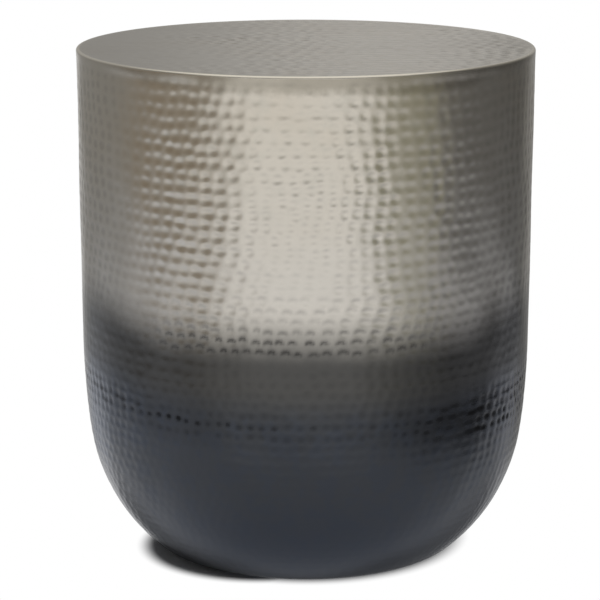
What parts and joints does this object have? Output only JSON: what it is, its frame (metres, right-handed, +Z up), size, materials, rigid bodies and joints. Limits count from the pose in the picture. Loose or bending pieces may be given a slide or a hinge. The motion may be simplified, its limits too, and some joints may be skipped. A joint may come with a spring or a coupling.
{
  "type": "drum side table",
  "caption": "Round hammered-metal drum side table: rolled wall on a spun bowl base, sheet top over a stiffening board, rubber foot pads.",
  "frame": {"origin": "floor level, at the drum's upright axis", "axes": "+Z up along the drum's axis; the wall's upright seam is at the back, on +Y"},
  "size_m": [0.4569, 0.457, 0.514],
  "materials": {
    "nickel_sheet": "hammered, satin champagne nickel",
    "ombre_sheet": "hammered, satin champagne nickel fading to dark gunmetal at the foot",
    "gunmetal_sheet": "hammered, satin dark gunmetal",
    "mill_bar": "mill finish bar",
    "weld": "brushed weld bead",
    "zinc_screw": "bright zinc plate",
    "fibreboard": "raw fibreboard",
    "plywood": "raw plywood",
    "adhesive": "cured adhesive film",
    "pad_rubber": "matt black rubber",
    "plug_nylon": "moulded black nylon"
  },
  "bodies": {
    "root": {"top_plate": "nickel_sheet", "core_adhesive": "adhesive", "top_core": "fibreboard", "rim_hoop": "mill_bar", "rim_hoop_welds": "weld", "core_lugs": "mill_bar", "core_screws": "zinc_screw", "drum_wall": "ombre_sheet", "wall_seam_strip": "mill_bar", "waist_hoop": "mill_bar", "waist_hoop_welds": "weld", "lower_bowl": "gunmetal_sheet", "base_disc": "plywood", "tee_nuts": "zinc_screw", "foot_pads": "pad_rubber", "pad_washers": "zinc_screw", "pad_screws": "zinc_screw", "vent_plug": "plug_nylon"}
  },
  "joints": []
}
